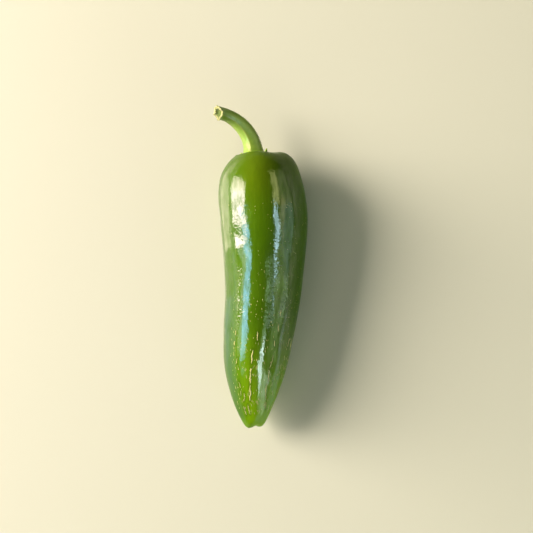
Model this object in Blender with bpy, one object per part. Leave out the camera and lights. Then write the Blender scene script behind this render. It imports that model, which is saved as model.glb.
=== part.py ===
# A green chilli pepper, picked and lying on its side: a pod, its calyx and its stem.
# The pod runs along Y, tip at -Y and stem at +Y, and rests on the plane z = 0.
# The origin is the middle of the small flat spot that it rests on.

import math

import bmesh
import bpy
from mathutils import Vector

MM = 0.001

# Driving dimensions, in millimetres. Along is measured from the pod's tip.
REST_ALONG = 50.0
TOUCHING_GAP = 0.3  # between neighbours that touch on the real pepper
FULL_ROUND = 2.0 * math.pi

# The pod's outline from the calyx's seat, over the shoulder and down to the tip:
# along, half width, sideways place of its axis, and its axis's height over the table.
POD_OUTLINE = (
    (83.2, 0.0, -2.2, 12.7),
    (83.2, 2.4, -2.2, 12.7),
    (83.4, 4.2, -2.2, 12.7),
    (84.3, 5.4, -2.0, 12.7),
    (85.1, 6.5, -1.1, 12.65),
    (84.4, 8.4, -0.2, 12.6),
    (82.0, 10.7, -0.1, 12.6),
    (78.0, 12.5, -0.35, 12.5),
    (72.0, 13.5, 0.1, 12.45),
    (63.2, 13.5, 0.75, 12.2),
    (52.0, 12.7, 0.65, 11.4),
    (40.8, 12.0, 0.15, 10.7),
    (29.6, 11.2, -0.85, 10.2),
    (18.4, 9.7, -1.95, 9.6),
    (10.0, 7.3, -2.4, 9.0),
    (4.6, 5.0, -2.6, 8.5),
    (1.35, 2.9, -2.6, 8.2),
    (0.55, 1.3, -2.4, 8.1),
    (0.9, 0.0, -2.3, 8.1),
)
POD_THICKNESS = 0.96  # its depth as a share of its width
POD_WIDEST = 13.5
SEAT_RADIUS = 5.4
SEAT_TILT = math.radians(4.0)  # the calyx's seat faces a little to the left
SHOULDER_RADIUS = 10.7  # from here on the pod's rings aren't tilted any more
SHOULDER_ALONG = 85.0
SHOULDER_SPREAD = 2.5
POD_LOBES = 3
POD_LOBE_TURN = math.radians(100.0)  # one lobe's ridge faces up, just left of the middle
LOBE_DEPTH = 0.032  # along the side, as a share of the half width
LOBE_DEPTH_AT_ENDS = 0.07  # added to that where the pod narrows
LOBE_RISE = 3.0  # how fast the lobes rise out of the round seat and tip
LOBE_CREST = 0.3  # how much a lobe lifts the shoulder's crest
# The tip's two lobes: how far they stand out, how much lower the first reaches, and its turn.
TIP_LOBE = 0.5
TIP_LEAN = 0.2
TIP_TURN = math.radians(165.0)
TIP_REACH = 3.0
TIP_RADIUS = 2.0
# Shallow dents in the skin: along, angle round, depth and reach.
DENTS = (
    (47.0, math.radians(58.0), 0.45, 8.0),
    (43.0, math.radians(172.0), 0.35, 9.0),
    (60.0, math.radians(250.0), 0.30, 10.0),
    (30.0, math.radians(20.0), 0.30, 7.0),
)

# The calyx, a small cup: radius and height over its own underside, top centre to underside centre.
CALYX_OUTLINE = (
    (0.0, 0.75),
    (2.0, 0.75),
    (3.4, 0.75),
    (3.85, 0.95),
    (4.2, 1.3),
    (4.6, 1.2),
    (4.6, 0.75),
    (4.0, 0.35),
    (2.4, 0.0),
    (0.0, 0.0),
)
CALYX_MARGIN = 0.48  # how far along that outline the margin lies
CALYX_MARGIN_REACH = 0.08
# The margin's teeth: angle round, height and half width.
TEETH = (
    (math.radians(-4.0), 2.3, 0.95),
    (math.radians(66.0), 0.8, 0.9),
    (math.radians(141.0), 0.7, 0.85),
    (math.radians(214.0), 1.2, 0.9),
    (math.radians(287.0), 1.3, 0.95),
)

# The stem's line, from the calyx to the cut: sideways, along and height.
STEM_LINE = (
    (-2.3, 84.55, 12.7),
    (-2.5, 87.1, 12.7),
    (-3.6, 90.0, 12.95),
    (-5.5, 92.8, 13.7),
    (-8.0, 94.9, 14.9),
    (-10.7, 96.4, 16.5),
    (-13.3, 96.8, 18.5),
)
# The stem's skin from its foot's centre, up its side and into the hollow cut end:
# the share of the line and the radius there.
STEM_OUTLINE = (
    (0.0, 0.0),
    (0.0, 1.7),
    (0.0, 3.1),
    (0.04, 3.3),
    (0.167, 2.95),
    (0.333, 2.55),
    (0.5, 2.35),
    (0.667, 2.15),
    (0.8, 2.03),
    (0.91, 2.03),
    (0.985, 2.2),
    (1.0, 2.0),
    (0.985, 1.6),
    (0.95, 1.3),
    (0.94, 0.7),
    (0.94, 0.0),
)
STEM_RIBS = 5
STEM_RIB_DEPTH = 0.055
STEM_RIB_TURN = math.radians(62.0)
DIRECTION_STEP = 0.01  # the share of the line over which its direction is taken

TABLE_CUT = (60.0, 160.0, 20.0)

# How finely each skin is divided, its colour and its roughness.
SKINS = {
    "pod": {"rings": 64, "segments": 60, "colour": (0.085, 0.19, 0.008), "roughness": 0.2},
    "calyx": {"rings": 20, "segments": 60, "colour": (0.16, 0.28, 0.02), "roughness": 0.45},
    "stem": {"rings": 44, "segments": 30, "colour": (0.22, 0.36, 0.05), "roughness": 0.4},
}


def through(stations, share):
    # The values a share of the way along a smooth curve through the stations (Catmull-Rom).
    place = share * (len(stations) - 1)
    first = min(int(place), len(stations) - 2)
    f = place - first
    before = stations[max(first - 1, 0)]
    start = stations[first]
    end = stations[first + 1]
    after = stations[min(first + 2, len(stations) - 1)]
    return [
        b + 0.5 * f * (c - a + f * (2 * a - 5 * b + 4 * c - d + f * (3 * (b - c) + d - a)))
        for a, b, c, d in zip(before, start, end, after)
    ]


def apart(angle, other):
    # How far apart two angles are, from 0 to half a turn.
    return abs((angle - other + math.pi) % FULL_ROUND - math.pi)


def on_seat(across, up, out):
    # The point that lies this far across the tilted seat, up from its centre and out from it.
    seat_along, _, seat_side, seat_height = POD_OUTLINE[0]
    return Vector((
        seat_side + across * math.cos(SEAT_TILT) - out * math.sin(SEAT_TILT),
        seat_along - REST_ALONG + across * math.sin(SEAT_TILT) + out * math.cos(SEAT_TILT),
        seat_height + up,
    ))


def pod_place(share, angle):
    # Share 0 is the middle of the seat and share 1 the middle of the tip.
    along, half_width, side, height = through(POD_OUTLINE, share)
    seat_along, _, seat_side, seat_height = POD_OUTLINE[0]
    clear_of_seat = max(0.0, min(1.0, (half_width - SEAT_RADIUS) / (SHOULDER_RADIUS - SEAT_RADIUS)))
    narrow = max(0.0, 1.0 - half_width / POD_WIDEST)
    depth = LOBE_DEPTH + LOBE_DEPTH_AT_ENDS * narrow * clear_of_seat
    lobe = math.cos(POD_LOBES * (angle - POD_LOBE_TURN)) * min(1.0, LOBE_RISE * clear_of_seat)
    radius = half_width * (1.0 + depth * lobe)
    for dent_along, dent_angle, dent_depth, reach in DENTS:
        away = math.hypot(along - dent_along, half_width * apart(angle, dent_angle)) / reach
        radius -= dent_depth * math.exp(-away * away) * clear_of_seat
    crest = math.exp(-(((along - SHOULDER_ALONG) / SHOULDER_SPREAD) ** 2))
    along += LOBE_CREST * crest * lobe
    from_tip_turn = angle - TIP_TURN
    tip = math.exp(-((along / TIP_REACH) ** 2)) * min(1.0, half_width / TIP_RADIUS)
    along -= tip * (TIP_LOBE * math.cos(2.0 * from_tip_turn) + TIP_LEAN * math.cos(from_tip_turn))
    straight = Vector((
        side + radius * math.cos(angle),
        along - REST_ALONG,
        height + POD_THICKNESS * radius * math.sin(angle),
    ))
    if share > 0.5:
        return straight
    tilted = on_seat(straight.x - seat_side, straight.z - seat_height, along - seat_along)
    return tilted.lerp(straight, clear_of_seat)


def calyx_place(share, angle):
    radius, height = through(CALYX_OUTLINE, share)
    near_margin = math.exp(-(((share - CALYX_MARGIN) / CALYX_MARGIN_REACH) ** 2))
    for tooth_angle, tooth_height, half_width in TEETH:
        away = apart(angle, tooth_angle) * radius / half_width
        height += tooth_height * near_margin * max(0.0, 1.0 - away)
    return on_seat(radius * math.cos(angle), radius * math.sin(angle), height + TOUCHING_GAP)


def stem_place(share, angle):
    along_line, radius = through(STEM_OUTLINE, share)
    centre = Vector(through(STEM_LINE, along_line))
    ahead = Vector(through(STEM_LINE, min(along_line + DIRECTION_STEP, 1.0)))
    behind = Vector(through(STEM_LINE, max(along_line - DIRECTION_STEP, 0.0)))
    forward = (ahead - behind).normalized()
    right = forward.cross(Vector((0.0, 0.0, 1.0))).normalized()
    up = right.cross(forward)
    radius *= 1.0 + STEM_RIB_DEPTH * math.cos(STEM_RIBS * (angle - STEM_RIB_TURN))
    place = centre + radius * (right * math.cos(angle) + up * math.sin(angle))
    return place - Vector((0.0, REST_ALONG, 0.0))


def painted(name, colour, roughness):
    material = bpy.data.materials.new(name)
    material.use_nodes = True
    shader = material.node_tree.nodes["Principled BSDF"]
    shader.inputs["Base Color"].default_value = (*colour, 1.0)
    shader.inputs["Roughness"].default_value = roughness
    return material


def closed_skin(name, place, rings, segments, colour, roughness):
    # A sphere whose vertices move to place(share of the way from pole to pole, angle round).
    mesh = bpy.data.meshes.new(name)
    bm = bmesh.new()
    bmesh.ops.create_uvsphere(bm, u_segments=segments, v_segments=rings, radius=1.0)
    for vert in bm.verts:
        share = math.acos(max(-1.0, min(1.0, vert.co.z))) / math.pi
        angle = math.atan2(vert.co.y, vert.co.x)
        vert.co = place(share, angle) * MM
    if bm.calc_volume(signed=True) < 0.0:
        bmesh.ops.reverse_faces(bm, faces=bm.faces)
    bm.to_mesh(mesh)
    bm.free()
    mesh.shade_smooth()
    mesh.materials.append(painted(name, colour, roughness))
    return bpy.data.objects.new(name, mesh)


def table_cutter():
    # Everything below the table, so that the pod gets its small flat spot.
    mesh = bpy.data.meshes.new("table_cutter")
    bm = bmesh.new()
    bmesh.ops.create_cube(bm, size=1.0)
    bm.to_mesh(mesh)
    bm.free()
    cutter = bpy.data.objects.new("table_cutter", mesh)
    cutter.scale = Vector(TABLE_CUT) * MM
    cutter.location.z = -0.5 * TABLE_CUT[2] * MM
    cutter.hide_render = True
    cutter.display_type = "WIRE"
    return cutter


def main():
    for old in list(bpy.data.objects):
        bpy.data.objects.remove(old)
    parts = bpy.data.collections.new("chilli_pepper")
    cutters = bpy.data.collections.new("cutters")
    bpy.context.scene.collection.children.link(parts)
    bpy.context.scene.collection.children.link(cutters)

    places = {"pod": pod_place, "calyx": calyx_place, "stem": stem_place}
    made = {name: closed_skin(name, places[name], **SKINS[name]) for name in SKINS}
    for piece in made.values():
        parts.objects.link(piece)

    cutter = table_cutter()
    cutters.objects.link(cutter)
    flat = made["pod"].modifiers.new("flat_spot", "BOOLEAN")
    flat.operation = "DIFFERENCE"
    flat.object = cutter


main()
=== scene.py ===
import math

import bpy
import numpy as np
from mathutils import Matrix, Vector


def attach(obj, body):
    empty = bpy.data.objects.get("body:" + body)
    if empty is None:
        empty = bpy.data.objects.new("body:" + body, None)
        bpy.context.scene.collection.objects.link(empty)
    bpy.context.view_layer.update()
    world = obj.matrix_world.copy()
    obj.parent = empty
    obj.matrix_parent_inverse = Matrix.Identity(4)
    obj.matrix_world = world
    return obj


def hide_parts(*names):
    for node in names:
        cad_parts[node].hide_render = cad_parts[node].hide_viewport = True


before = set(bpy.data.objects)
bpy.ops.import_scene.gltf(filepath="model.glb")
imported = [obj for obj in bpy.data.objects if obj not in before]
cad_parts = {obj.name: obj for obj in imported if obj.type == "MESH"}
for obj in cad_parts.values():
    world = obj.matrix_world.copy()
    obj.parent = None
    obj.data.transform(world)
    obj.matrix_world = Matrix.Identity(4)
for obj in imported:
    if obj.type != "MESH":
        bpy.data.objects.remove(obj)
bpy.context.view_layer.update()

mm = 0.001
fullTurn = 2.0 * math.pi
print("frame loaded:", ", ".join(sorted(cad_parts)))


# small tools

def linear(hexColour):
    # sRGB hex to linear light
    parts = [int(hexColour[i:i + 2], 16) / 255.0 for i in (1, 3, 5)]
    return [p / 12.92 if p <= 0.04045 else ((p + 0.055) / 1.055) ** 2.4 for p in parts] + [1.0]


def perMetre(size):
    # the noise scale whose cells are this many mm across
    return 1.0 / (size * mm)


def addNode(tree, kind, inputs=None, **settings):
    # one node, its properties set and its inputs filled or linked
    node = tree.nodes.new(kind)
    for name, value in settings.items():
        setattr(node, name, value)
    for name, value in (inputs or {}).items():
        if isinstance(value, bpy.types.NodeSocket):
            tree.links.new(value, node.inputs[name])
        else:
            node.inputs[name].default_value = value
    return node


def smoothStep(value, low, high):
    # 0 below low, 1 above high, with a smooth S between
    t = np.clip((value - low) / (high - low), 0.0, 1.0)
    return t * t * (3.0 - 2.0 * t)


def turnBetween(angle, other):
    # the signed turn from other to angle, within half a turn
    return (angle - other + math.pi) % fullTurn - math.pi


def through(stations, share):
    # Catmull-Rom: a smooth curve through the stations, read at each share of the way along
    table = np.array(stations, float)
    place = np.clip(np.asarray(share, float), 0.0, 1.0) * (len(table) - 1)
    first = np.minimum(place.astype(int), len(table) - 2)
    f = (place - first)[..., None]
    a = table[np.maximum(first - 1, 0)]
    b = table[first]
    c = table[first + 1]
    d = table[np.minimum(first + 2, len(table) - 1)]
    curve = b + 0.5 * f * (c - a + f * (2 * a - 5 * b + 4 * c - d + f * (3 * (b - c) + d - a)))
    return np.moveaxis(curve, -1, 0)


def unit(vectors):
    return vectors / np.linalg.norm(vectors, axis=-1, keepdims=True)


def evenShares(profile, count):
    # shares that split a drawn profile into steps of equal length, its two ends left out
    samples = 6001
    dense = np.linspace(0.0, 1.0, samples)
    steps = np.linalg.norm(np.diff(profile(dense), axis=1), axis=0)
    length = np.concatenate([[0.0], np.cumsum(steps)])
    return np.interp(np.linspace(0.0, length[-1], count + 2)[1:-1], length, dense)


def closedMesh(name, rings, poles, values=None):
    # Closed skins from rings of points in mm, (skins, rings, around, 3), and two end points each,
    # (skins, 2, 3). values are named numbers for the material, one array for rings and one for poles.
    skins, count, around = rings.shape[:3]
    each = count * around + 2
    points = np.concatenate([poles[:, :1], rings.reshape(skins, -1, 3), poles[:, 1:]], 1) * mm
    ring = 1 + np.arange(count)[:, None] * around
    here = ring + np.arange(around)
    there = ring + (np.arange(around) + 1) % around
    quads = np.stack([here[:-1], there[:-1], there[1:], here[1:]], -1).reshape(-1, 4)
    first = np.stack([np.zeros(around, int), there[0], here[0]], -1)
    end = np.stack([np.full(around, each - 1), here[-1], there[-1]], -1)
    caps = np.concatenate([first, end])
    # faces are turned round where the first skin's volume comes out negative
    a, b, c, d = (points[0][quads[:, i]] for i in range(4))
    volume = (a * (np.cross(b, c) + np.cross(c, d))).sum()
    if volume < 0.0:
        quads = quads[:, ::-1]
        caps = caps[:, ::-1]
    start = np.arange(skins)[:, None, None] * each
    faces = (start + quads).reshape(-1, 4).tolist() + (start + caps).reshape(-1, 3).tolist()
    mesh = bpy.data.meshes.new(name)
    mesh.from_pydata(points.reshape(-1, 3), [], faces)
    for label, (onRings, onPoles) in (values or {}).items():
        numbers = np.concatenate([onPoles[:, :1], onRings.reshape(skins, -1), onPoles[:, 1:]], 1)
        attribute = mesh.attributes.new(label, "FLOAT", "POINT")
        attribute.data.foreach_set("value", numbers.ravel().astype(np.float32))
    return mesh


def skinOf(name, place, values, shares, around):
    # A skin over place(share, angle), with an end point at share 0 and at share 1, and
    # values(share, angle) kept on its points.
    turns = np.arange(around) * fullTurn / around
    share, angle = np.broadcast_arrays(shares[:, None], turns[None, :])
    endShare = np.array([0.0, 1.0])
    endAngle = np.zeros(2)
    onRings = values(share, angle)
    onPoles = values(endShare, endAngle)
    named = {label: (onRings[label][None], onPoles[label][None]) for label in onRings}
    return closedMesh(name, place(share, angle)[None], place(endShare, endAngle)[None], named)


def finishPiece(name, mesh, material):
    # smooth, painted, on the body that carries it
    mesh.validate()
    mesh.shade_smooth()
    mesh.materials.append(material)
    piece = bpy.data.objects.new(name, mesh)
    bpy.context.scene.collection.objects.link(piece)
    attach(piece, "root")
    print("made", name, len(mesh.polygons), "faces")
    return piece


# corky marks on the pod

cork = {
    # half width in mm, then the stations that each crack runs through: mm from the tip, degrees round
    "cracks": (
        (0.17, ((24.6, 95.6), (23.3, 96), (22.3, 97), (21.4, 96), (20.2, 96.3))),
        (0.18, ((18.9, 96), (17.7, 97), (16.4, 97), (14.9, 97), (13.9, 97.4))),
        (0.17, ((13.5, 97), (12.2, 98), (10.9, 96.5), (10.0, 98), (8.5, 98.8))),
        (0.1, ((22.7, 58), (20.9, 59), (19.9, 60), (18.6, 62))),
        (0.11, ((18.2, 61.6), (17.1, 61), (15.9, 60.5), (14.2, 58.5))),
        (0.1, ((13.8, 61.6), (13.6, 62), (12.1, 61), (10.3, 59), (8.6, 55))),
        (0.08, ((8.0, 54), (6.9, 52), (5.8, 51))),
        (0.13, ((29.7, 90), (28.7, 91), (27.4, 90))),
        (0.09, ((30.3, 129), (29.6, 129.3), (28.9, 129.6))),
        (0.09, ((27.1, 131), (26.4, 131.2), (25.7, 130.8))),
        (0.09, ((21.8, 123), (21.0, 124), (20.1, 125))),
        (0.07, ((14.4, 122), (13.4, 120), (12.6, 120.3))),
        (0.065, ((11.6, 120), (10.8, 120.6), (10.0, 121))),
        (0.07, ((11.0, 112), (9.7, 111), (8.2, 116))),
        (0.07, ((6.6, 121), (5.0, 119), (3.8, 117))),
        (0.075, ((7.3, 106), (5.6, 105.3), (4.0, 105))),
        (0.13, ((27.8, 21), (26.6, 21), (25.0, 21.5))),
        (0.12, ((27.6, 10), (25.6, 10.4), (24.0, 10))),
        (0.12, ((36.9, 56), (35.9, 56.6), (34.8, 57))),
        (0.13, ((32.5, 58), (31.3, 57), (30.0, 56))),
        (0.12, ((27.3, 61), (26.4, 60), (25.5, 59))),
        (0.15, ((21.0, 232), (18.6, 233), (16.0, 231), (13.2, 232.5))),
        (0.13, ((17.2, 305), (15.0, 306), (12.4, 304))),
    ),
    "crackStations": 41,
    "crackAround": 10,
    "crackRise": 0.1,
    "crackWander": 0.09,  # mm, how far its line strays
    "crackRadius": 8.0,  # mm, about the pod's half width there, which turns mm into an angle
    "crackSwell": 0.45,  # how much its width varies
    "crackWidths": (0.35, 1.6),  # and the least and most share of its half width
    "seed": 11,
    # how many dashes lie in each stretch from the tip, in mm
    "dashes": ((185, 4.0, 20.0), (240, 18.0, 42.0), (165, 38.0, 70.0)),
    "dashFrom": math.radians(-60.0),
    "dashSpan": math.radians(202.0),
    "dashRows": 90,
    "dashStray": 0.015,  # how far a dash lies off its row, as an angle
    "dashLong": (8.0, 45.0),  # mm from the tip: long dashes up to the first, dots past the second
    "dashLength": (0.08, 0.2),  # half of its length in mm, least and most
    "dashLonger": (0.05, 0.6),  # added to that near the tip
    "dashWidth": (0.035, 0.085),
    "dashTilt": 0.15,
    "dashRadius": 9.0,
    "dashRise": 0.05,
    "dashStations": 5,
    "dashAround": 6,
    "colour": "#b0a65c",
    "pale": "#d8cc90",
    "flake": 0.333,  # mm across
    "roughness": 0.75,
}


# the pod

pod = {
    "restAlong": 50.0,  # mm from the tip to the origin
    # along, half width, sideways place and height of the axis, from the seat to the tip
    "outline": (
        (83.2, 0.0, -2.2, 12.7), (83.2, 2.4, -2.2, 12.7), (83.4, 4.2, -2.2, 12.7),
        (84.3, 5.4, -2.0, 12.7), (85.1, 6.5, -1.1, 12.65), (84.4, 8.4, -0.2, 12.6),
        (82.0, 10.7, -0.1, 12.6), (78.0, 12.5, -0.35, 12.5), (72.0, 13.5, 0.1, 12.45),
        (63.2, 13.5, 0.75, 12.2), (52.0, 12.7, 0.65, 11.4), (40.8, 12.0, 0.15, 10.7),
        (29.6, 11.2, -0.85, 10.2), (18.4, 9.7, -1.95, 9.6), (9.8, 7.3, -2.35, 9.0),
        (4.2, 5.05, -2.3, 8.5), (0.75, 3.05, -2.15, 8.2), (-0.2, 1.4, -2.0, 8.1),
        (0.1, 0.0, -1.9, 8.1),
    ),
    "thickness": 0.96,  # its depth as a share of its width
    "widest": 13.5,
    "seatRadius": 5.4,
    "seatTilt": math.radians(4.0),
    "shoulderRadius": 10.7,
    "shoulderAlong": 85.0,
    "shoulderSpread": 2.5,
    "lobes": 3,
    "lobeTurn": math.radians(100.0),
    "lobeDepth": 0.032,  # as a share of the half width
    "lobeDepthAtEnds": 0.07,  # added to that where the pod narrows
    "lobeRise": 3.0,  # how fast the lobes rise out of the round seat and tip
    "lobeCrest": 0.3,
    "tipLobe": 0.5,
    "tipLean": 0.2,
    "tipTurn": math.radians(165.0),
    "tipReach": 3.0,
    "tipRadius": 2.0,
    # along, angle round, depth and reach
    "dents": (
        (47.0, math.radians(58.0), 0.15, 8.0),
        (43.0, math.radians(172.0), 0.35, 9.0),
        (60.0, math.radians(250.0), 0.30, 10.0),
        (30.0, math.radians(20.0), 0.30, 7.0),
    ),
    # gentle swells that lean the skin: along, angle round, lean round, lean along and reach
    "leans": (
        (52.0, math.radians(111.0), -0.14, 0.0, 6.0),
        (49.5, math.radians(133.0), 0.0, 0.085, 7.0),
        (45.0, math.radians(134.0), 0.0, 0.045, 6.0),
        (39.5, math.radians(129.0), 0.0, 0.075, 7.0),
        (33.5, math.radians(132.0), 0.0, 0.045, 6.0),
        (57.2, math.radians(131.0), 0.0, -0.085, 3.5),
        (44.0, math.radians(62.0), 0.0, 0.05, 5.0),
        (66.0, math.radians(138.0), 0.05, 0.0, 9.0),
        (63.5, math.radians(68.0), 0.05, 0.0, 5.0),
        (52.0, math.radians(119.0), -0.05, 0.0, 4.0),
        (50.0, math.radians(67.0), -0.04, 0.0, 4.5),
    ),
    "waveHeight": 0.03,  # mm, the skin's faint waves
    "rings": 330,
    "around": 280,
    "side": (0.3, 0.99),  # shares of the outline between the shoulder's crest and the tip
    "tiltEnds": 0.5,  # share of the outline from which nothing is tilted
    # where the skin changes, each from 0 to 1 between two places in mm from the tip
    "yellowAndPaintedLightOver": (0.0, 36.0),
    "duskyOver": (72.0, 85.0),
    "tipOver": (12.0, 32.0),
    "crackBorder": 0.55,  # mm
    "crownAlong": 76.0,
    "crownReach": 8.0,
    "crownUp": (0.85, 1.0),  # sine of the angle round
    "shadeOver": (22.0, 40.0),
    "shadeSide": (0.65, 0.93),  # cosine of the angle round
    # painted shade on the left side, the side the sun lights: where it starts and is full, and how it
    # fades
    "paintedShadeLeftSide": (0.4, 1.0),  # minus the cosine of the angle round
    "paintedShadeLeftSideAtTip": (-0.05, 0.9),
    "paintedShadeLeftFrom": (-3.0, 4.0),
    "paintedShadeLeftFades": (12.0, 50.0),
    "paintedShadeLeftFade": 0.6,  # how much of it is gone at the far end of that
    "paintedShadeLeftAtTip": 0.85,  # how much of it shows on the tip
    # the skin's colours
    "flesh": ("#355705", "#517003"),
    "blotch": 9.09,  # mm across
    "streak": "#64861c",
    "streakMost": 0.22,
    # what each place on the skin is tinted with, and how much at most
    "tints": (
        ("nearTip", 1.0, "#7ba203"),  # the tip is yellower and brighter: partly its own colour, partly painted light
        ("nearStem", 1.0, "#4c630c"),  # the shoulder is duskier
        ("crown", 0.2, "#7c8608"),  # olive where it has ripened most
        ("paintedShadeLeft", 1.0, "#254a0a"),  # painted shade: the left side is darkened to a deeper green, most of all near the tip
        ("nearCrack", 0.42, "#2c4406"),  # dark borders along the cracks
    ),
    # the share of its wax that is left where it is strained, at both ends, and rubbed, on the right
    "waxLeft": (("nearStem", 0.15), ("nearTip", 0.25), ("shade", 0.15)),
    "waxUneven": (0.6, 1.18),
}


def onSeat(across, up, out):
    # a point from its place on the tilted seat
    seatAlong, _, seatSide, seatHeight = pod["outline"][0]
    tilt = pod["seatTilt"]
    return (
        seatSide + across * math.cos(tilt) - out * math.sin(tilt),
        seatAlong - pod["restAlong"] + across * math.sin(tilt) + out * math.cos(tilt),
        seatHeight + up,
    )


def skinWaves(along, angle):
    # sum of a few slow sines along and round the pod, so that a reflection's edge wavers
    waves = np.sin(along * 0.37 + 2.0 * np.sin(3.0 * angle)) * np.cos(5.0 * angle + 0.13 * along)
    waves += 0.7 * np.sin(along * 0.31 + 4.0 * angle + 1.3) * np.cos(0.17 * along - 9.0 * angle)
    waves += 0.25 * np.sin(along * 0.8 - 3.0 * angle) * np.sin(17.0 * angle + 0.3 * along)
    return pod["waveHeight"] * waves


def podPlace(share, angle):
    # An oval ring at each share of the outline. Three lobes, the dents, the leans and the waves
    # change its radius, the lobes lift the shoulder's crest, the tip has two small lobes, the seat
    # is tilted, and nothing reaches below the floor.
    along, halfWidth, side, height = through(pod["outline"], share)
    seatAlong, _, seatSide, seatHeight = pod["outline"][0]
    shoulder = pod["shoulderRadius"] - pod["seatRadius"]
    clear = np.clip((halfWidth - pod["seatRadius"]) / shoulder, 0.0, 1.0)
    narrow = np.maximum(0.0, 1.0 - halfWidth / pod["widest"])
    depth = pod["lobeDepth"] + pod["lobeDepthAtEnds"] * narrow * clear
    lobe = np.cos(pod["lobes"] * (angle - pod["lobeTurn"])) * np.minimum(1.0, pod["lobeRise"] * clear)
    radius = halfWidth * (1.0 + depth * lobe)
    for dentAlong, dentAngle, dentDepth, reach in pod["dents"]:
        away = np.hypot(along - dentAlong, halfWidth * turnBetween(angle, dentAngle)) / reach
        radius = radius - dentDepth * np.exp(-away * away) * clear
    for leanAlong, leanAngle, leanRound, leanLength, reach in pod["leans"]:
        # a slope that fades with distance: sideways and lengthwise leans times a bell
        aside = halfWidth * turnBetween(angle, leanAngle)
        ahead = along - leanAlong
        rise = leanRound * aside + leanLength * ahead
        radius = radius + rise * np.exp(-(aside ** 2 + ahead ** 2) / reach ** 2) * clear
    radius = radius + skinWaves(along, angle) * clear
    crest = np.exp(-(((along - pod["shoulderAlong"]) / pod["shoulderSpread"]) ** 2))
    along = along + pod["lobeCrest"] * crest * lobe
    fromTip = angle - pod["tipTurn"]
    tip = np.exp(-((along / pod["tipReach"]) ** 2)) * np.minimum(1.0, halfWidth / pod["tipRadius"])
    along = along - tip * (pod["tipLobe"] * np.cos(2.0 * fromTip) + pod["tipLean"] * np.cos(fromTip))
    straight = (
        side + radius * np.cos(angle),
        along - pod["restAlong"],
        height + pod["thickness"] * radius * np.sin(angle),
    )
    tilted = onSeat(straight[0] - seatSide, straight[2] - seatHeight, along - seatAlong)
    weight = np.where(np.asarray(share) > pod["tiltEnds"], 1.0, clear)
    x, y, z = (t + (s - t) * weight for t, s in zip(tilted, straight))
    return np.stack(np.broadcast_arrays(x, y, np.maximum(z, 0.0)), -1)


def podShareAt(along):
    # the share of the outline that lies this far from the tip, on the side of the pod
    samples = 2001
    dense = np.linspace(*pod["side"], samples)
    return np.interp(along, through(pod["outline"], dense)[0][::-1], dense[::-1])


def podFrame(along, angle):
    # a point on the pod and the direction straight out of it, from small steps along and round
    step = 0.15
    turn = 0.02
    point = podPlace(podShareAt(along), angle)
    ahead = podPlace(podShareAt(along + step), angle) - podPlace(podShareAt(along - step), angle)
    aside = podPlace(podShareAt(along), angle + turn) - podPlace(podShareAt(along), angle - turn)
    return point, unit(np.cross(aside, ahead))


def nearCracks(along, angle, halfWidth):
    # 1 on a crack's line, falling to 0 about a millimetre away, by distance to each short stretch
    nearest = np.full(np.shape(along), np.inf)
    for _, stations in cork["cracks"]:
        for (alongA, degreesA), (alongB, degreesB) in zip(stations, stations[1:]):
            spanAlong = alongB - alongA
            spanRound = halfWidth * math.radians(degreesB - degreesA)
            aside = halfWidth * turnBetween(angle, math.radians(degreesA))
            ahead = along - alongA
            t = (ahead * spanAlong + aside * spanRound) / (spanAlong ** 2 + spanRound ** 2)
            t = np.clip(t, 0.0, 1.0)
            away = np.hypot(ahead - t * spanAlong, aside - t * spanRound)
            nearest = np.minimum(nearest, away)
    return np.exp(-((nearest / pod["crackBorder"]) ** 2))


def podValues(share, angle):
    # how much each of the skin's changes shows at each point, from 0 to 1
    along, halfWidth, _, _ = through(pod["outline"], share)
    everywhere = np.ones_like(angle)
    outside = np.where(share > pod["side"][0], 1.0, 0.0)
    tip = 1.0 - smoothStep(along, *pod["tipOver"])
    # painted shade: the left side's green is darkened, most of all near the tip
    low, high = (a + (b - a) * tip for a, b in zip(pod["paintedShadeLeftSide"], pod["paintedShadeLeftSideAtTip"]))
    paintedShadeLeft = smoothStep(-np.cos(angle), low, high) * smoothStep(along, *pod["paintedShadeLeftFrom"])
    paintedShadeLeft = paintedShadeLeft * (1.0 - (1.0 - pod["paintedShadeLeftAtTip"]) * tip)
    crown = np.exp(-(((along - pod["crownAlong"]) / pod["crownReach"]) ** 2))
    return {
        # the tip's yellower colour, partly its own and partly painted light
        "nearTip": (1.0 - smoothStep(along, *pod["yellowAndPaintedLightOver"])) * everywhere,
        "nearStem": smoothStep(along, *pod["duskyOver"]) * everywhere,
        "nearCrack": nearCracks(along, angle, halfWidth) * outside,
        "paintedShadeLeft": paintedShadeLeft * (1.0 - pod["paintedShadeLeftFade"] * smoothStep(along, *pod["paintedShadeLeftFades"])),
        "crown": crown * smoothStep(np.sin(angle), *pod["crownUp"]) * outside,
        "shade": smoothStep(np.cos(angle), *pod["shadeSide"]) * smoothStep(along, *pod["shadeOver"]),
    }


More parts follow.
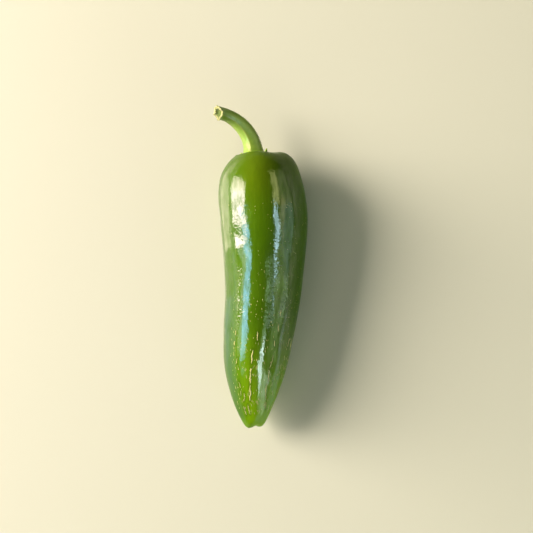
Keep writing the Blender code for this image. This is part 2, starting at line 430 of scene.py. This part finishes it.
def waxySkin():
    # Fresh chilli skin, grown: thin, tight and waxy, so it mirrors bright things sharply over a
    # deep green, with paler streaks and pores that stretch lengthwise.
    material = bpy.data.materials.new("waxy chilli skin")
    material.use_nodes = True
    tree = material.node_tree
    shader = tree.nodes["Principled BSDF"]
    where = addNode(tree, "ShaderNodeTexCoord").outputs["Object"]
    labels = ("nearTip", "nearStem", "nearCrack", "paintedShadeLeft", "shade", "crown")
    place = {
        label: addNode(tree, "ShaderNodeAttribute", attribute_name=label).outputs["Fac"]
        for label in labels}

    # blotches about 9 mm across, drawn out along the pod
    drawnOut = addNode(tree, "ShaderNodeMapping", {"Vector": where, "Scale": (1.0, 0.35, 1.0)})
    blotches = addNode(tree, "ShaderNodeTexNoise", {
        "Vector": drawnOut.outputs[0], "Scale": perMetre(pod["blotch"]), "Detail": 3.0}).outputs[0]
    deep, bright = pod["flesh"]
    green = addNode(tree, "ShaderNodeMix", {
        "Factor": blotches, "A": linear(deep), "B": linear(bright)}, data_type="RGBA")
    # streaks about 0.8 mm wide and 10 mm long
    fine = addNode(tree, "ShaderNodeMapping", {"Vector": where, "Scale": (1.0, 0.08, 1.0)})
    streaks = addNode(tree, "ShaderNodeTexNoise", {
        "Vector": fine.outputs[0], "Scale": perMetre(0.833), "Detail": 2.0})
    streakShare = addNode(tree, "ShaderNodeMapRange", {
        "Value": streaks.outputs[0], "From Min": 0.5, "From Max": 0.8,
        "To Min": 0.0, "To Max": pod["streakMost"]})
    colour = addNode(tree, "ShaderNodeMix", {
        "Factor": streakShare.outputs[0], "A": green.outputs[2], "B": linear(pod["streak"])},
        data_type="RGBA")
    for label, most, tint in pod["tints"]:
        share = addNode(tree, "ShaderNodeMath", {0: place[label], 1: most}, operation="MULTIPLY")
        colour = addNode(tree, "ShaderNodeMix", {
            "Factor": share.outputs[0], "A": colour.outputs[2], "B": linear(tint)}, data_type="RGBA")
    tree.links.new(colour.outputs[2], shader.inputs["Base Color"])

    # the skin's own unevenness: swells about 2 mm across and 6 mm long, with pores of 0.8 mm on them
    drawn = addNode(tree, "ShaderNodeMapping", {"Vector": where, "Scale": (1.0, 0.33, 1.0)})
    swells = addNode(tree, "ShaderNodeTexNoise", {
        "Vector": drawn.outputs[0], "Scale": perMetre(2.083), "Detail": 1.0})
    swollen = addNode(tree, "ShaderNodeBump", {
        "Height": swells.outputs[0], "Strength": 0.6, "Distance": 0.12 * mm})
    pores = addNode(tree, "ShaderNodeTexNoise", {
        "Vector": where, "Scale": perMetre(0.7692), "Detail": 2.0})
    relief = addNode(tree, "ShaderNodeBump", {
        "Height": pores.outputs[0], "Strength": 0.6, "Distance": 0.065 * mm,
        "Normal": swollen.outputs[0]})
    tree.links.new(relief.outputs[0], shader.inputs["Normal"])
    tree.links.new(relief.outputs[0], shader.inputs["Coat Normal"])
    gloss = addNode(tree, "ShaderNodeMapRange", {"Value": blotches, "To Min": 0.24, "To Max": 0.36})
    tree.links.new(gloss.outputs[0], shader.inputs["Roughness"])

    # the wax lies unevenly, in streaks about 1 mm wide and 4 mm long, and is worn in places
    smear = addNode(tree, "ShaderNodeMapping", {"Vector": where, "Scale": (1.0, 0.25, 1.0)})
    smears = addNode(tree, "ShaderNodeTexNoise", {
        "Vector": smear.outputs[0], "Scale": perMetre(1.0526), "Detail": 3.0})
    least, most = pod["waxUneven"]
    wax = addNode(tree, "ShaderNodeMapRange", {
        "Value": smears.outputs[0], "From Min": 0.35, "From Max": 0.65,
        "To Min": least, "To Max": most})
    for label, left in pod["waxLeft"]:
        share = addNode(tree, "ShaderNodeMapRange", {
            "Value": place[label], "To Min": 1.0, "To Max": left})
        wax = addNode(tree, "ShaderNodeMath", {0: wax.outputs[0], 1: share.outputs[0]},
                      operation="MULTIPLY")
    tree.links.new(wax.outputs[0], shader.inputs["Coat Weight"])
    # the wax does nearly all of the mirroring, so the skin under it mirrors little
    shader.inputs["IOR"].default_value = 1.12
    shader.inputs["Coat Roughness"].default_value = 0.06
    shader.inputs["Coat IOR"].default_value = 1.6
    shader.inputs["Subsurface Weight"].default_value = 0.06
    shader.inputs["Subsurface Radius"].default_value = (0.5, 1.0, 0.1)
    shader.inputs["Subsurface Scale"].default_value = 1.0 * mm
    return material


podShares = evenShares(lambda share: through(pod["outline"], share)[:2], pod["rings"])
podSkin = finishPiece(
    "podSkin", skinOf("podSkin", podPlace, podValues, podShares, pod["around"]),
    waxySkin())
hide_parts("pod")


# cracks and dashes

def tubesOnPod(name, along, angle, halfWidth, rise, around):
    # Flat closed tubes that lie on the pod: an oval section, wide by halfWidth and high by rise,
    # carried along paths of (skins, stations) places on the pod and closed to a point at both ends.
    point, out = podFrame(along, angle)
    ahead = unit(np.gradient(point, axis=1))
    side = unit(np.cross(out, ahead))
    turn = np.arange(around) * fullTurn / around
    section = (
        side[:, 1:-1, None] * (halfWidth[:, 1:-1, None] * np.cos(turn))[..., None]
        + out[:, 1:-1, None] * (rise[:, 1:-1, None] * np.sin(turn))[..., None]
    )
    rings = point[:, 1:-1, None] + section
    return closedMesh(name, rings, point[:, [0, -1]])


def corkyScar():
    # Healed stretch marks, grown: dry pale cork, matt, split lengthwise into flakes.
    material = bpy.data.materials.new("dry corky scar")
    material.use_nodes = True
    tree = material.node_tree
    shader = tree.nodes["Principled BSDF"]
    where = addNode(tree, "ShaderNodeTexCoord").outputs["Object"]
    # flakes about 0.3 mm wide and 1 mm long
    drawn = addNode(tree, "ShaderNodeMapping", {"Vector": where, "Scale": (1.0, 0.3, 1.0)})
    flakes = addNode(tree, "ShaderNodeTexNoise", {
        "Vector": drawn.outputs[0], "Scale": perMetre(cork["flake"]), "Detail": 3.0}).outputs[0]
    colour = addNode(tree, "ShaderNodeMix", {
        "Factor": flakes, "A": linear(cork["colour"]), "B": linear(cork["pale"])}, data_type="RGBA")
    tree.links.new(colour.outputs[2], shader.inputs["Base Color"])
    relief = addNode(tree, "ShaderNodeBump", {
        "Height": flakes, "Strength": 0.5, "Distance": 0.1 * mm})
    tree.links.new(relief.outputs[0], shader.inputs["Normal"])
    shader.inputs["Roughness"].default_value = cork["roughness"]
    return material


def softened(draw, count):
    # random numbers about 0, each averaged with its two neighbours
    return np.convolve(draw.normal(size=count + 2), (0.25, 0.5, 0.25), "valid")


def crackMesh():
    # each crack's line wanders a little, and its width swells and pinches between pointed ends
    draw = np.random.default_rng(cork["seed"])
    share = np.linspace(0.0, 1.0, cork["crackStations"])
    pointed = np.sin(math.pi * share)
    along = []
    angle = []
    width = []
    for halfWidth, stations in cork["cracks"]:
        alongLine, degrees = through(stations, share)
        stray = softened(draw, len(share)) * cork["crackWander"]
        swell = 1.0 + cork["crackSwell"] * softened(draw, len(share))
        along.append(alongLine)
        angle.append(np.radians(degrees) + stray / cork["crackRadius"])
        width.append(halfWidth * np.clip(swell, *cork["crackWidths"]) * pointed ** 0.4)
    along, angle, width = (np.array(part) for part in (along, angle, width))
    rise = cork["crackRise"] * pointed ** 0.5 * np.ones_like(width)
    return tubesOnPod("corkCracks", along, angle, width, rise, cork["crackAround"])


def dashMesh():
    # Short flat dashes, mere dots far from the tip and long near it, in loose rows along the pod.
    draw = np.random.default_rng(cork["seed"] + 1)
    along = np.concatenate([draw.uniform(start, end, count) for count, start, end in cork["dashes"]])
    count = len(along)
    angle = cork["dashFrom"] + draw.uniform(0.0, cork["dashSpan"], count)
    row = fullTurn / cork["dashRows"]
    angle = np.round(angle / row) * row + draw.normal(0.0, cork["dashStray"], count)
    near = 1.0 - smoothStep(along, *cork["dashLong"])
    length = draw.uniform(*cork["dashLength"], count) + near * draw.uniform(*cork["dashLonger"], count)
    width = draw.uniform(*cork["dashWidth"], count)
    tilt = draw.normal(0.0, cork["dashTilt"], count)
    share = np.linspace(-1.0, 1.0, cork["dashStations"])
    reach = length[:, None] * share
    alongLine = along[:, None] + reach * np.cos(tilt)[:, None]
    angleLine = angle[:, None] + reach * np.sin(tilt)[:, None] / cork["dashRadius"]
    taper = np.sqrt(np.maximum(0.0, 1.0 - share ** 2))
    halfWidth = width[:, None] * taper
    rise = cork["dashRise"] * taper * np.ones_like(halfWidth)
    return tubesOnPod("corkDashes", alongLine, angleLine, halfWidth, rise, cork["dashAround"])


scarred = corkyScar()
finishPiece("corkCracks", crackMesh(), scarred)
finishPiece("corkDashes", dashMesh(), scarred)


# the calyx

calyx = {
    # radius and height over its own underside, top centre to underside centre
    "outline": (
        (0.0, 0.75), (2.0, 0.75), (3.4, 0.75), (3.85, 0.95), (4.2, 1.3),
        (4.6, 1.2), (4.6, 0.75), (4.0, 0.35), (2.4, 0.0), (0.0, 0.0),
    ),
    "lift": 0.3,  # mm over the pod's seat
    "splay": 0.3,  # how far a tooth leans out for its height
    "margin": 0.48,  # share of the outline where the margin is
    "marginReach": 0.08,
    "marginHigh": (0.8, 1.3),  # mm, where its colour turns into the margin's
    # angle round, height and half width
    "teeth": (
        (math.radians(30.0), 1.7, 1.2),
        (math.radians(66.0), 0.8, 0.9),
        (math.radians(109.0), 1.2, 0.8),
        (math.radians(150.0), 0.7, 0.85),
        (math.radians(214.0), 1.2, 0.9),
        (math.radians(287.0), 1.3, 0.95),
    ),
    "rings": 80,
    "around": 200,
    "flesh": ("#5f8414", "#a4bf30"),
    # the margin's colour: painted light, as if lit through from behind
    "edge": "#a3ba30",
    "mottle": 1.111,  # mm across
    "roughness": 0.42,
}


def calyxPlace(share, angle):
    # a turned cup whose margin rises into pointed teeth
    radius, height = through(calyx["outline"], share)
    nearMargin = np.exp(-(((share - calyx["margin"]) / calyx["marginReach"]) ** 2))
    for toothAngle, toothHeight, halfWidth in calyx["teeth"]:
        away = np.abs(turnBetween(angle, toothAngle)) * radius / halfWidth
        tooth = toothHeight * nearMargin * np.maximum(0.0, 1.0 - away)
        height = height + tooth
        radius = radius + calyx["splay"] * tooth
    return np.stack(np.broadcast_arrays(*onSeat(
        radius * np.cos(angle), radius * np.sin(angle), height + calyx["lift"])), -1)


def calyxValues(share, angle):
    # where the cup is its thin margin
    _, height = through(calyx["outline"], share)
    return {"margin": smoothStep(height, *calyx["marginHigh"]) * np.ones_like(angle)}


def calyxFlesh():
    # Fresh calyx, grown: satin green and mottled, with its thin margin painted paler and yellower as
    # painted light shining through it.
    material = bpy.data.materials.new("green calyx skin")
    material.use_nodes = True
    tree = material.node_tree
    shader = tree.nodes["Principled BSDF"]
    where = addNode(tree, "ShaderNodeTexCoord").outputs["Object"]
    margin = addNode(tree, "ShaderNodeAttribute", attribute_name="margin").outputs["Fac"]
    mottle = addNode(tree, "ShaderNodeTexNoise", {
        "Vector": where, "Scale": perMetre(calyx["mottle"]), "Detail": 4.0}).outputs[0]
    deep, bright = calyx["flesh"]
    colour = addNode(tree, "ShaderNodeMix", {
        "Factor": mottle, "A": linear(deep), "B": linear(bright)}, data_type="RGBA")
    # painted light: the thin margin is painted paler and yellower, as light shining through it
    edged = addNode(tree, "ShaderNodeMix", {
        "Factor": margin, "A": colour.outputs[2], "B": linear(calyx["edge"])}, data_type="RGBA")
    tree.links.new(edged.outputs[2], shader.inputs["Base Color"])
    relief = addNode(tree, "ShaderNodeBump", {
        "Height": mottle, "Strength": 0.3, "Distance": 0.1 * mm})
    tree.links.new(relief.outputs[0], shader.inputs["Normal"])
    shader.inputs["Roughness"].default_value = calyx["roughness"]
    return material


calyxShares = evenShares(lambda share: through(calyx["outline"], share), calyx["rings"])
calyxSkin = finishPiece(
    "calyxSkin", skinOf("calyxSkin", calyxPlace, calyxValues, calyxShares, calyx["around"]),
    calyxFlesh())
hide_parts("calyx")


# the stem

stem = {
    # sideways, along and height, from the calyx to the torn end
    "line": (
        (-2.3, 84.55, 12.7), (-2.5, 87.1, 12.7), (-3.45, 90.1, 12.95), (-5.3, 92.95, 13.7),
        (-7.85, 95.25, 14.9), (-10.7, 96.75, 16.5), (-13.3, 97.25, 18.5),
    ),
    # share of the line and radius, from the foot's middle to the hollow's middle
    "outline": (
        (0.0, 0.0), (0.0, 1.7), (0.0, 3.1), (0.04, 3.3), (0.167, 2.95), (0.333, 2.7),
        (0.5, 2.5), (0.667, 2.25), (0.8, 2.05), (0.91, 2.03), (0.985, 2.2), (1.0, 2.0),
        (0.992, 1.45), (0.965, 1.05), (0.95, 0.55), (0.95, 0.0),
    ),
    "length": 22.0,  # mm, about how long the line is
    "ribs": 5,
    "ribDepth": 0.4,  # 0 is round, 1 is flat-sided
    "ribMiddle": 0.92,  # the five-sided bar's middling radius, which the depth leaves as it is
    "ribTurn": math.radians(34.0),
    "footFlare": 0.24,  # how much wider the foot spreads on one side
    "footReach": 0.08,
    "footSide": (-0.2, 1.0),  # cosine of the angle round, from no flare to all of it
    "slant": 0.75,  # mm, how far the torn end leans
    "ragged": 0.4,  # mm, how far its edge strays lengthwise
    "raggedRound": 0.1,  # and as a share of its radius
    # shares of the outline: where the tearing, the wood and the hollow start and where they are full
    "tearing": (0.6, 0.68),
    "wood": (0.65, 0.69),
    "turnedIn": (0.78, 0.9),
    "hollow": (0.76, 0.86),
    "ridge": (0.75, 1.0),
    "step": 0.01,  # share of the line over which its direction is taken
    "rings": 260,
    "around": 160,
    "skin": ("#6f8c28", "#8fab40"),
    "ridgeTint": "#a39a4e",
    "ridgeMost": 0.35,
    "woodColours": ("#7c7a44", "#cdc890"),
    "pith": "#56642a",
    "mottle": 1.111,  # mm across
}


def stemRib(angle):
    # 1 on a ridge, 0 half-way between two ridges
    half = math.pi / stem["ribs"]
    off = np.abs((angle - stem["ribTurn"] + half) % (2.0 * half) - half)
    return 1.0 - off / half


def stemSection(angle):
    # between a circle and a five-sided bar: the bar's side is cos(half)/cos(turn from its middle)
    half = math.pi / stem["ribs"]
    side = math.cos(half) / np.cos(half * stemRib(angle))
    return 1.0 + stem["ribDepth"] * (side - stem["ribMiddle"])


def tearing(angle):
    # a ragged edge: a few sines of uneven pitch, about -1 to 1
    ragged = np.sin(3.0 * angle + 0.4) + 0.6 * np.sin(7.0 * angle + 2.0) + 0.35 * np.sin(13.0 * angle)
    return ragged / 1.6


def stemPlace(share, angle):
    # Rings square to the stem's line, with soft ridges, spread at the foot and turned inwards at
    # the slanted torn end.
    alongLine, radius = through(stem["outline"], share)
    centre = np.moveaxis(through(stem["line"], alongLine), 0, -1)
    further = np.minimum(alongLine + stem["step"], 1.0)
    nearer = np.maximum(alongLine - stem["step"], 0.0)
    forward = unit(np.moveaxis(through(stem["line"], further) - through(stem["line"], nearer), 0, -1))
    right = unit(np.cross(forward, (0.0, 0.0, 1.0)))
    up = np.cross(right, forward)
    torn = smoothStep(share, *stem["tearing"])
    inside = smoothStep(share, *stem["turnedIn"])
    foot = np.exp(-((alongLine / stem["footReach"]) ** 2))
    foot = foot * smoothStep(np.cos(angle), *stem["footSide"])
    radius = radius * (1.0 + stem["footFlare"] * foot)
    radius = radius * stemSection(angle) * (1.0 + stem["raggedRound"] * torn * tearing(angle + 1.0))
    out = right * np.cos(angle)[..., None] + up * np.sin(angle)[..., None]
    lean = stem["slant"] * np.cos(angle) + stem["ragged"] * tearing(angle)
    lean = lean * torn * (1.0 - inside)
    point = centre + radius[..., None] * out + lean[..., None] * forward
    return point - (0.0, pod["restAlong"], 0.0)


def stemValues(share, angle):
    # where the ridges, the torn wood and the hollow are
    return {
        "ridge": smoothStep(stemRib(angle), *stem["ridge"]) * np.ones_like(share),
        "torn": smoothStep(share, *stem["wood"]) * np.ones_like(angle),
        "hollow": smoothStep(share, *stem["hollow"]) * np.ones_like(angle),
    }


def stemBark():
    # Green stalk skin, grown: satin and mottled, browner on its ridges, torn to dry cream wood.
    material = bpy.data.materials.new("green stalk skin")
    material.use_nodes = True
    tree = material.node_tree
    shader = tree.nodes["Principled BSDF"]
    where = addNode(tree, "ShaderNodeTexCoord").outputs["Object"]
    ridge, torn, hollow = (
        addNode(tree, "ShaderNodeAttribute", attribute_name=label).outputs["Fac"]
        for label in ("ridge", "torn", "hollow"))
    mottle = addNode(tree, "ShaderNodeTexNoise", {
        "Vector": where, "Scale": perMetre(stem["mottle"]), "Detail": 4.0}).outputs[0]
    skin, wood = (
        addNode(tree, "ShaderNodeMix", {
            "Factor": mottle, "A": linear(deep), "B": linear(bright)}, data_type="RGBA")
        for deep, bright in (stem["skin"], stem["woodColours"]))
    ridged = addNode(tree, "ShaderNodeMath", {0: ridge, 1: stem["ridgeMost"]}, operation="MULTIPLY")
    edged = addNode(tree, "ShaderNodeMix", {
        "Factor": ridged.outputs[0], "A": skin.outputs[2], "B": linear(stem["ridgeTint"])},
        data_type="RGBA")
    rim = addNode(tree, "ShaderNodeMix", {
        "Factor": torn, "A": edged.outputs[2], "B": wood.outputs[2]}, data_type="RGBA")
    pith = addNode(tree, "ShaderNodeMix", {
        "Factor": hollow, "A": rim.outputs[2], "B": linear(stem["pith"])}, data_type="RGBA")
    tree.links.new(pith.outputs[2], shader.inputs["Base Color"])
    relief = addNode(tree, "ShaderNodeBump", {
        "Height": mottle, "Strength": 0.35, "Distance": 0.12 * mm})
    tree.links.new(relief.outputs[0], shader.inputs["Normal"])
    rough = addNode(tree, "ShaderNodeMapRange", {"Value": torn, "To Min": 0.36, "To Max": 0.8})
    tree.links.new(rough.outputs[0], shader.inputs["Roughness"])
    shader.inputs["Coat Weight"].default_value = 0.08
    shader.inputs["Coat Roughness"].default_value = 0.25
    return material


stemShares = evenShares(
    lambda share: through(stem["outline"], share) * np.array(((stem["length"],), (1.0,))),
    stem["rings"])
stemSkin = finishPiece(
    "stemSkin", skinOf("stemSkin", stemPlace, stemValues, stemShares, stem["around"]),
    stemBark())
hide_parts("stem")


# floor, camera and light

stage = {
    "floorHalf": 1.5,  # m
    "floorDrop": 0.2 * mm,
    "floorColour": "#d6d1c2",
    "floorRoughness": 0.9,
    "cameraAt": (1.65 * mm, 0.0, 462.0 * mm),
    "viewWidth": 166.1 * mm,  # what the photograph's frame spans at the pod's axis
    "viewHeight": 12.0 * mm,
    "sensorWidth": 36.0,  # mm
    "clipStart": 10.0 * mm,
    "skyColour": (0.95, 0.98, 1.0, 1.0),
    "skyDark": 0.02,  # overhead
    "skyPale": 0.05,  # at the horizon
    "skyFades": (0.05, 0.7),  # the height over which it does, as a share of straight up
    "sheetHeight": 0.5 * mm,
}

# Panels round the pod. Each one's edges are as seen from the pod, in degrees: across from straight
# up to the right, and lengthwise towards the stem. glow is its red, green and blue light. One with
# shine is seen in gloss alone, and one that is soft isn't seen in gloss.
lightDistance = 0.36  # m
lights = {
    "windowHigh": {
        "across": (-91.0, -46.0), "lengthwise": (9.0, 24.0), "glow": (10.4, 8.2, 7.4),
        "shine": True},
    "windowMiddle": {
        "across": (-91.0, -46.0), "lengthwise": (0.3, 9.0), "glow": (11.6, 9.3, 9.4),
        "shine": True},
    "windowLow": {
        "across": (-91.0, -52.0), "lengthwise": (-5.5, -1.0), "glow": (17.5, 13.9, 14.2),
        "shine": True},
    "sun": {
        "across": (-88.0, -46.0), "lengthwise": (0.0, 30.0), "glow": (18.4, 17.4, 14.6),
        "soft": True, "distance": 1.0},
    "skyLeft": {
        "across": (-66.0, -42.0), "lengthwise": (-22.8, -5.0), "glow": (2.45, 5.1, 8.3),
        "shine": True},
    "haze": {
        "across": (-81.0, -66.0), "lengthwise": (-14.0, -8.3), "glow": (1.9, 2.2, 2.3),
        "shine": True},
    "skyTail": {
        "across": (-62.0, -46.0), "lengthwise": (-35.0, -29.0), "glow": (0.7, 1.7, 1.8),
        "shine": True},
    "skyRight": {
        "across": (39.0, 53.5), "lengthwise": (-14.3, 9.0), "glow": (4.7, 6.9, 8.1),
        "turn": 44.0, "shine": True},
    "skyLow": {
        "across": (26.5, 43.5), "lengthwise": (-51.0, -27.0), "glow": (12.0, 15.0, 15.0),
        "turn": 34.0, "shine": True},
    "skyBetween": {
        "across": (21.0, 34.0), "lengthwise": (-27.0, -17.1), "glow": (1.2, 1.9, 1.1),
        "shine": True},
    "wallNear": {
        "across": (39.0, 57.0), "lengthwise": (10.0, 37.0), "glow": (2.7, 2.7, 1.1),
        "shine": True},
    "wallHigh": {
        "across": (57.5, 88.0), "lengthwise": (8.8, 36.0), "glow": (0.7, 0.75, 0.4),
        "shine": True},
    "wallMiddle": {
        "across": (57.0, 70.0), "lengthwise": (-8.0, 12.0), "glow": (0.7, 0.5, 0.15),
        "turn": -12.0, "shine": True},
    "wallLow": {
        "across": (58.0, 88.0), "lengthwise": (-12.3, 8.6), "glow": (0.6, 0.85, 0.75),
        "shine": True},
    "wallTip": {
        "across": (52.0, 88.0), "lengthwise": (-30.0, -17.0), "glow": (0.85, 1.25, 0.5),
        "shine": True},
    "scrapNear": {
        "across": (32.0, 60.0), "lengthwise": (-19.5, -17.0), "glow": (1.5, 2.0, 1.7),
        "shine": True},
    "scrapFar": {
        "across": (74.0, 89.0), "lengthwise": (-17.0, -13.5), "glow": (1.2, 1.5, 1.1),
        "shine": True},
    "scrapBetween": {
        "across": (53.0, 75.0), "lengthwise": (-16.8, -12.4), "glow": (0.85, 1.0, 0.5),
        "shine": True},
    "wallEnd": {
        "across": (40.0, 88.0), "lengthwise": (-62.0, -35.0), "glow": (2.1, 2.6, 1.8),
        "shine": True},
    "room": {
        "across": (52.0, 88.0), "lengthwise": (-80.0, -34.0), "glow": (1.9, 2.3, 2.0),
        "distance": 1.0},
    "side": {
        "across": (66.0, 89.0), "lengthwise": (-30.0, 30.0), "glow": (0.35, 0.5, 0.2),
        "soft": True, "distance": 1.0},
    "top": {
        "across": (-60.0, -10.0), "lengthwise": (35.0, 70.0), "glow": (0.6, 0.6, 0.45),
        "soft": True, "distance": 1.0},
    "fill": {
        "across": (-50.0, 10.0), "lengthwise": (-76.0, -20.0), "glow": (0.85, 0.85, 0.7),
        "soft": True, "distance": 1.0},
}
# sheets that lie beside the pod and are seen in gloss alone: sideways and lengthwise edges in mm
sheets = {
    "sheetNear": {"sideways": (-48.0, -24.0), "along": (3.0, 60.0), "glow": (1.9, 1.5, 1.2)},
    "sheetFar": {"sideways": (-90.0, -48.0), "along": (1.0, 40.0), "glow": (2.4, 1.95, 1.55)},
    "sheetShaded": {"sideways": (-150.0, -20.0), "along": (-240.0, -10.0), "glow": (0.02, 0.08, 0.3)},
    "sheetAtTip": {"sideways": (14.0, 200.0), "along": (-240.0, -47.0), "glow": (0.3, 0.45, 0.6)},
}


def paleFloor():
    # Matt paper: pale, and it mirrors next to nothing.
    mesh = bpy.data.meshes.new("floor")
    h = stage["floorHalf"]
    z = -stage["floorDrop"]
    mesh.from_pydata([(-h, -h, z), (h, -h, z), (h, h, z), (-h, h, z)], [], [(0, 1, 2, 3)])
    material = bpy.data.materials.new("matt paper floor")
    material.use_nodes = True
    shader = material.node_tree.nodes["Principled BSDF"]
    shader.inputs["Base Color"].default_value = linear(stage["floorColour"])
    shader.inputs["Roughness"].default_value = stage["floorRoughness"]
    mesh.materials.append(material)
    floor = bpy.data.objects.new("floor", mesh)
    bpy.context.scene.collection.objects.link(floor)


def areaLamp(name, width, length, glow, place):
    # A panel that shines out of its local -Z side, hidden from the camera. An area lamp's radiance is
    # its energy over 4 times its area.
    light = bpy.data.lights.new(name, "AREA")
    light.shape = "RECTANGLE"
    light.size = width
    light.size_y = length
    brightest = max(glow)
    light.energy = 4.0 * width * length * brightest
    light.color = [part / brightest for part in glow]
    lamp = bpy.data.objects.new(name, light)
    bpy.context.scene.collection.objects.link(lamp)
    lamp.matrix_world = place
    lamp.visible_camera = False
    return lamp


def panel(name, across, lengthwise, glow, turn=0.0, distance=lightDistance, shine=False, soft=False):
    # A flat panel that fills these edges from the pod, square to the line to its middle, then turned
    # in its own plane.
    sideways = math.radians(sum(across) / 2.0)
    forwards = math.radians(sum(lengthwise) / 2.0)
    towards = Vector((
        math.sin(sideways) * math.cos(forwards), math.sin(forwards),
        math.cos(sideways) * math.cos(forwards)))
    halfWidth = distance * math.tan(math.radians(across[1] - across[0]) / 2.0) * math.cos(forwards)
    halfLength = distance * math.tan(math.radians(lengthwise[1] - lengthwise[0]) / 2.0)
    # the panel faces the pod; its local X lies across the pod and its local Y along it
    side = Vector((0.0, 1.0, 0.0)).cross(towards).normalized()
    facing = Matrix((side, towards.cross(side), towards)).transposed().to_4x4()
    middle = Vector((0.0, 0.0, stage["viewHeight"])) + towards * distance
    place = Matrix.Translation(middle) @ facing @ Matrix.Rotation(math.radians(turn), 4, "Z")
    lamp = areaLamp(name, 2.0 * halfWidth, 2.0 * halfLength, glow, place)
    lamp.visible_diffuse = not shine
    lamp.visible_glossy = not soft


def sheet(name, sideways, along, glow):
    # a level panel just over the floor, facing up
    width = (sideways[1] - sideways[0]) * mm
    length = (along[1] - along[0]) * mm
    middle = Vector((sum(sideways) / 2.0 * mm, sum(along) / 2.0 * mm, stage["sheetHeight"]))
    lamp = areaLamp(
        name, width, length, glow, Matrix.Translation(middle) @ Matrix.Rotation(math.pi, 4, "X"))
    lamp.visible_diffuse = False


def paleSky():
    # dark overhead and paler towards the horizon
    world = bpy.data.worlds.new("sky")
    world.use_nodes = True
    tree = world.node_tree
    background = tree.nodes["Background"]
    direction = addNode(tree, "ShaderNodeTexCoord").outputs["Generated"]
    parts = addNode(tree, "ShaderNodeSeparateXYZ", {"Vector": direction})
    low, high = stage["skyFades"]
    pale = addNode(tree, "ShaderNodeMapRange", {
        "Value": parts.outputs["Z"], "From Min": low, "From Max": high,
        "To Min": stage["skyPale"], "To Max": stage["skyDark"]})
    tree.links.new(pale.outputs[0], background.inputs["Strength"])
    background.inputs["Color"].default_value = stage["skyColour"]
    bpy.context.scene.world = world


def photoCamera():
    # straight above the pod, with the lens that gives the photograph's width at the pod's axis
    camera = bpy.data.cameras.new("camera")
    camera.sensor_width = stage["sensorWidth"]
    reach = stage["cameraAt"][2] - stage["viewHeight"]
    camera.lens = camera.sensor_width * reach / stage["viewWidth"]
    camera.clip_start = stage["clipStart"]
    holder = bpy.data.objects.new("camera", camera)
    bpy.context.scene.collection.objects.link(holder)
    holder.location = stage["cameraAt"]
    bpy.context.scene.camera = holder


paleFloor()
paleSky()
for name, settings in lights.items():
    panel(name, **settings)
for name, settings in sheets.items():
    sheet(name, **settings)
photoCamera()
bpy.context.scene.view_settings.view_transform = "Standard"
print("floor, light and camera set")
